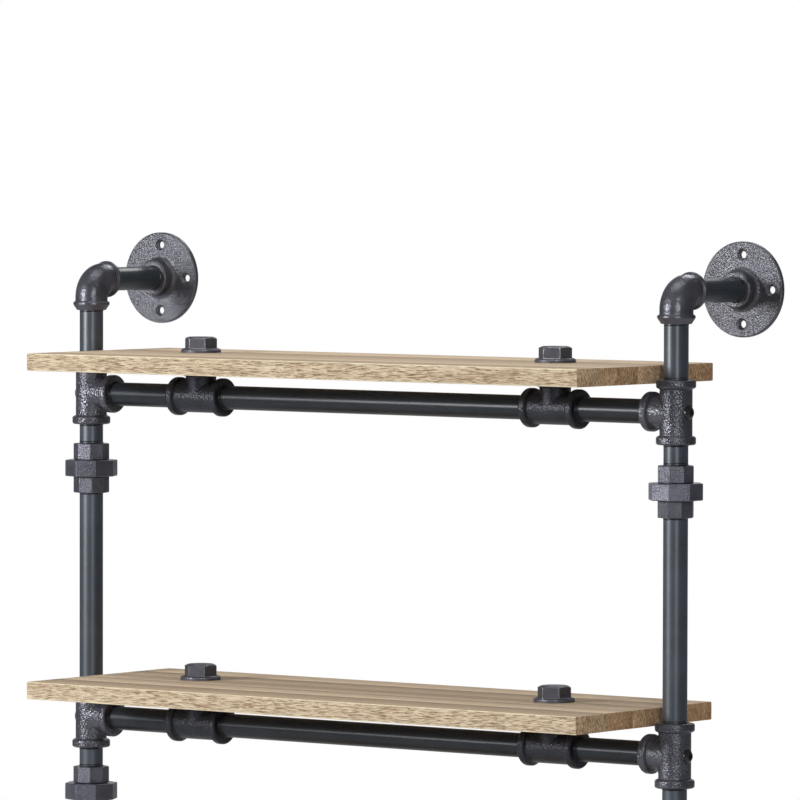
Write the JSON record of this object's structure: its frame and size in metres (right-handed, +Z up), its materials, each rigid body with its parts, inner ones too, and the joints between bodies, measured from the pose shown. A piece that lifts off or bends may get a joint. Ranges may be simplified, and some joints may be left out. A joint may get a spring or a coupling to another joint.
{
  "type": "pipe shelving unit",
  "caption": "Wall-hung shelving unit of screwed pipe and cast fittings, with wooden boards carried on cross pipes between two posts and unions that close the pipe loops.",
  "frame": {"origin": "on the wall plane, midway between the posts, level with the middle tier's pipe axis; it is the centre of the four outermost wall screw holes", "axes": "+X to the right seen from the room, +Y into the wall, +Z up"},
  "size_m": [0.728, 0.219, 0.876],
  "materials": {
    "fittings": "rough cast, black coated",
    "pipes": "satin black coated steel pipe",
    "plugs": "satin gunmetal",
    "screws": "gloss black",
    "boards": "edge-glued softwood planks, light stain, matt",
    "gaskets": "plain"
  },
  "bodies": {
    "frame": {"board_bottom": "boards", "board_middle": "boards", "board_plugs": "plugs", "board_top": "boards", "cross_pipe_bottom_centre": "pipes", "cross_pipe_bottom_left": "pipes", "cross_pipe_bottom_right": "pipes", "cross_pipe_middle_centre": "pipes", "cross_pipe_middle_left": "pipes", "cross_pipe_middle_right": "pipes", "cross_pipe_top_centre": "pipes", "cross_pipe_top_left": "pipes", "cross_pipe_top_right": "pipes", "cross_tee_bottom_left": "fittings", "cross_tee_bottom_right": "fittings", "cross_tee_middle_left": "fittings", "cross_tee_middle_right": "fittings", "cross_tee_top_left": "fittings", "cross_tee_top_right": "fittings", "elbow_bottom_left": "fittings", "elbow_bottom_right": "fittings", "elbow_top_left": "fittings", "elbow_top_right": "fittings", "post_pipe_long_lower_left": "pipes", "post_pipe_long_lower_right": "pipes", "post_pipe_long_upper_left": "pipes", "post_pipe_long_upper_right": "pipes", "post_pipe_lower_left": "pipes", "post_pipe_lower_right": "pipes", "post_pipe_upper_left": "pipes", "post_pipe_upper_right": "pipes", "post_tee_bottom_left": "fittings", "post_tee_bottom_right": "fittings", "post_tee_middle_left": "fittings", "post_tee_middle_right": "fittings", "post_tee_top_left": "fittings", "post_tee_top_right": "fittings", "tee_screws": "screws", "union_body_lower_left": "fittings", "union_body_lower_right": "fittings", "union_body_upper_left": "fittings", "union_body_upper_right": "fittings", "union_gaskets": "gaskets", "union_nipples": "pipes", "union_tail_lower_left": "fittings", "union_tail_lower_right": "fittings", "union_tail_upper_left": "fittings", "union_tail_upper_right": "fittings", "wall_flange_bottom_left": "fittings", "wall_flange_bottom_right": "fittings", "wall_flange_top_left": "fittings", "wall_flange_top_right": "fittings", "wall_nipples": "pipes"},
    "union_nut_lower_left": {"union_nut_lower_left": "fittings"},
    "union_nut_lower_right": {"union_nut_lower_right": "fittings"},
    "union_nut_upper_left": {"union_nut_upper_left": "fittings"},
    "union_nut_upper_right": {"union_nut_upper_right": "fittings"}
  },
  "joints": [
    {"name": "union_nut_lower_left_turn", "type": "hinge", "parent": "frame", "child": "union_nut_lower_left", "pos_m": [-0.3225, -0.103, -0.06765], "axis": [0, 0, 1], "range_deg": [0, 1512]},
    {"name": "union_nut_lower_right_turn", "type": "hinge", "parent": "frame", "child": "union_nut_lower_right", "pos_m": [0.3225, -0.103, -0.06765], "axis": [0, 0, 1], "range_deg": [0, 1512]},
    {"name": "union_nut_upper_left_turn", "type": "hinge", "parent": "frame", "child": "union_nut_upper_left", "pos_m": [-0.3225, -0.103, 0.22585], "axis": [0, 0, 1], "range_deg": [0, 1512]},
    {"name": "union_nut_upper_right_turn", "type": "hinge", "parent": "frame", "child": "union_nut_upper_right", "pos_m": [0.3225, -0.103, 0.22585], "axis": [0, 0, 1], "range_deg": [0, 1512]}
  ]
}
